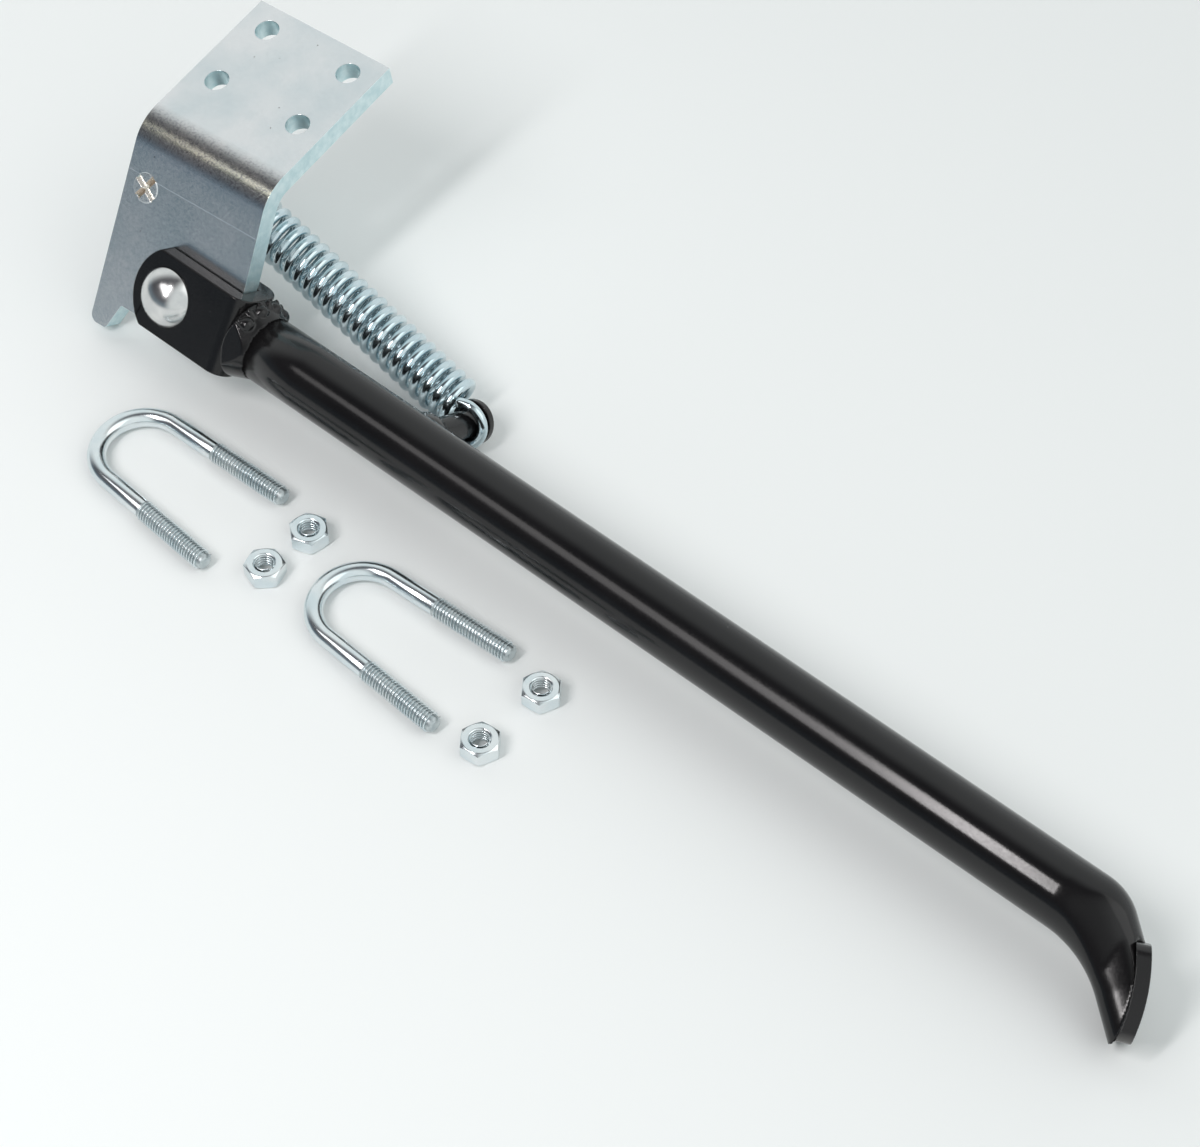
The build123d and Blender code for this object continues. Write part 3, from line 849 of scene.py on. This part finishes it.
for number in (1, 2, 3, 4):
    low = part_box(f"nut_{number}")[0]
    bore = Vector(mounts[f"nut_{number}_thread"]["pos_m"])
    bore.z = low[2]
    points = [vert.co - bore for vert in frame["nodes"][f"nut_{number}"].data.vertices]
    corner = max(points, key=lambda point: point.xy.length)
    nut_axes = axes_at(bore, Vector((1, 0, 0)), Vector((0, 1, 0)), Vector((0, 0, 1)))
    nut_axes = nut_axes @ Matrix.Rotation(math.atan2(corner.y, corner.x), 4, "Z")
    bm = bmesh.new()
    bmesh.ops.create_circle(bm, radius=1.0, segments=nut_sides)
    first = edges = bm.edges[:]
    rings = [bm.verts[:]]
    while len(rings) < 2 * len(nut_rings):
        ring, edges = extrude_ring(bm, edges)
        rings.append(ring)
    bmesh.ops.bridge_loops(bm, edges=first + edges)
    lower, upper = rings[:len(nut_rings)], rings[:len(nut_rings) - 1:-1]
    for lower_ring, upper_ring, (radius, depth) in zip(lower, upper, nut_rings):
        for vert in lower_ring + upper_ring:
            angle = math.atan2(vert.co.y, vert.co.x)
            reach = radius or hexagon_radius(angle)
            drop = depth if radius else (reach - nut_face) * chamfer_slope
            height = nut_height - drop if vert in upper_ring else drop
            vert.co = (math.cos(angle) * reach, math.sin(angle) * reach, height)
    bmesh.ops.transform(bm, matrix=nut_axes, verts=bm.verts)
    bmesh.ops.recalc_face_normals(bm, faces=bm.faces)
    nut = place_piece(f"hex_nut_{number}", bm, bright_zinc, "bracket")
    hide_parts(f"nut_{number}")
    round_edges(nut, corner_round, segments=2, least_angle=25)
    bm = bmesh.new()
    add_thread(bm, Matrix.Translation((0, 0, cut_start)), cut_turns, cut_ridge)
    finish_mesh(
        f"nut_thread_{number}", bm, nut_axes, bright_zinc, "bracket"
    )

# ---------------------------------------------------------------- return spring
# Close-wound spring of 2.8 mm bright zinc wire.  Its end turns are bent out into
# loops that hook over the two posts.
spring_zinc = coated_material(
    "spring_zinc", 0.03,
    Colour_A=(0.54, 0.66, 0.71, 1), Colour_B=(0.66, 0.75, 0.78, 1),
    Cloud_Scale=120, Grain_Scale=2500, Rough_Low=0.10, Rough_High=0.17,
)[0]
wire_radius = 1.4
wire_sides = 20
coil_radius = 6.3
coil_turns = 24
coil_steps = 40
hook_tilt = math.radians(9)
hook_sweep = math.radians(310)
hook_seat = 0.45
hook_steps = 44
spring_roll = math.radians(7)
lower_hook_place = Vector((84.0, 24.8, 1.6))
upper_hook = Vector(hinges["spring_swing"]["pos_m"])
lower_hook = leg_axes @ lower_hook_place
spring_line = (lower_hook - upper_hook).normalized()
hook_distance = (lower_hook - upper_hook).length * 1000
spring_up = spring_line.cross(spring_side).normalized()
spring_out = spring_up.cross(spring_line)
spring_out = spring_out * math.cos(spring_roll) + spring_up * math.sin(spring_roll)
spring_axes = axes_at(upper_hook, spring_line, spring_out, spring_line.cross(spring_out))
coil_start = hook_seat + coil_radius * math.cos(hook_tilt)
coil_offset = coil_radius * (1 - math.sin(hook_tilt))
coil_pitch = (hook_distance - 2 * coil_start) / coil_turns
wire_start = (
    Matrix.Translation((hook_seat, 0, 0)) @ Matrix.Rotation(-hook_tilt, 4, "Z")
    @ Matrix.Translation((coil_radius, 0, 0))
)
coil_end = Matrix.Translation((coil_pitch * coil_turns, 0, 0))


def add_loop(bm, join, centre, axis, sweep):
    """One end loop of wire, from its closed free end round to the coil."""
    part = bmesh.new()
    bmesh.ops.create_circle(part, cap_ends=True, radius=wire_radius, segments=wire_sides)
    middle = Matrix.Translation((centre, 0, 0))
    free_end = middle @ Matrix.Rotation(sweep, 4, axis) @ middle.inverted() @ join
    bmesh.ops.transform(part, matrix=free_end, verts=part.verts)
    wound = bmesh.ops.spin(
        part, geom=part.faces[:], cent=(centre, 0, 0), axis=axis,
        angle=-sweep, steps=hook_steps,
    )["geom_last"]
    inside = [item for item in wound if isinstance(item, bmesh.types.BMFace)]
    bmesh.ops.delete(part, geom=inside, context="FACES_ONLY")
    join_into(bm, part, Matrix.Identity(4))


bm = bmesh.new()
bmesh.ops.create_circle(bm, radius=wire_radius, segments=wire_sides)
bmesh.ops.transform(bm, matrix=wire_start, verts=bm.verts)
bmesh.ops.spin(
    bm, geom=bm.verts[:] + bm.edges[:], cent=(0, coil_offset, 0), axis=(1, 0, 0),
    dvec=(coil_pitch / coil_steps, 0, 0), angle=math.tau, steps=coil_steps,
)
repeat_turn(bm, coil_turns, Vector((coil_pitch, 0, 0)))
loop_axis = Vector((math.sin(hook_tilt), math.cos(hook_tilt), 0))
add_loop(bm, wire_start, hook_seat, loop_axis, -hook_sweep)
loop_axis.y = -loop_axis.y
add_loop(bm, coil_end @ wire_start, hook_distance - hook_seat, loop_axis, hook_sweep)
spring = finish_mesh(
    "spring", bm, spring_axes, spring_zinc, "spring", merge=0.002
)
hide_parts("return_spring")
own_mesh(spring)

# ---------------------------------------------------------------- table, lamps and sky
# Pale table under soft lamps: a large one at the right, and a row of panels high
# in front that shows as the streak along the leg and fades towards the pivot.
# The room is bright behind and at the right, and dim in front.
table_material, tree, shader = new_material("table")
shader.inputs["Base Color"].default_value = (0.87, 0.892, 0.886, 1)
shader.inputs["Roughness"].default_value = 0.5
bm = bmesh.new()
bmesh.ops.create_grid(bm, x_segments=1, y_segments=1, size=4.0)
table = mesh_object("table", bm, table_material)


def soft_lamp(name, position, target, width, height, power, colour):
    """Rectangular studio lamp that faces a point."""
    data = bpy.data.lights.new(name, "AREA")
    data.shape = "RECTANGLE"
    data.size = width
    data.size_y = height
    data.energy = power
    data.color = colour
    lamp = add_object(name, data)
    lamp.location = position
    aim = Vector(target) - Vector(position)
    lamp.rotation_euler = aim.to_track_quat("-Z", "Y").to_euler()


soft_lamp(
    "right_softbox", (1.10, 0.55, 1.25), (0, 0, 0), 1.4, 1.4, 3.5, (1.0, 0.99, 0.97)
)
panel_y = -0.58
panel_z = 0.91
down_panel = Vector((0, -0.843, -0.537))
# left edge, right edge, height, slide down the panels' plane, and brightness
for number, (left_edge, right_edge, height, slide, brightness) in enumerate((
    (-0.185, -0.092, 0.60, 0.07, 24.0), (-0.33, -0.185, 0.46, 0.12, 3.6),
    (-0.50, -0.33, 0.40, 0.05, 2.4), (-0.66, -0.50, 0.30, 0.00, 2.3),
    (-0.84, -0.66, 0.20, 0.00, 1.7),
), 1):
    middle = (left_edge + right_edge) / 2
    width = right_edge - left_edge
    position = Vector((middle, panel_y, panel_z)) + down_panel * slide
    target = Vector((middle, 0, 0)) + down_panel * slide
    power = brightness * math.pi * width * height
    soft_lamp(
        f"front_panel_{number}", position, target, width, height, power, (1.0, 0.97, 0.97)
    )

low_front = (0.17, 0.22, 0.26, 1)
high_front = (0.09, 0.09, 0.10, 1)
bright_sky = (0.88, 0.92, 0.92, 1)
world = bpy.data.worlds.new("studio")
world.use_nodes = True
tree = world.node_tree
background = tree.nodes["Background"]
towards = tree.nodes.new("ShaderNodeTexCoord").outputs["Generated"]
parts = tree.nodes.new("ShaderNodeSeparateXYZ")
feed(tree, parts.inputs["Vector"], towards)
rise = map_range(tree, parts.outputs["Z"], 0.08, 0.40, eased=True)
left_share = 0.6
leftward = math_node(tree, "MULTIPLY", parts.outputs["X"], -left_share)
back_left = math_node(tree, "ADD", parts.outputs["Y"], leftward)
behind = map_range(tree, back_left, 0.10, 0.62, eased=True)
beside = map_range(tree, parts.outputs["X"], 0.05, 0.45, eased=True)
bright = math_node(tree, "MAXIMUM", behind, beside)
front = mix_colour(tree, rise, low_front, high_front)
feed(tree, background.inputs["Color"], mix_colour(tree, bright, front, bright_sky))
background.inputs["Strength"].default_value = 1.0
bpy.context.scene.world = world
bpy.context.scene.view_settings.view_transform = "Standard"
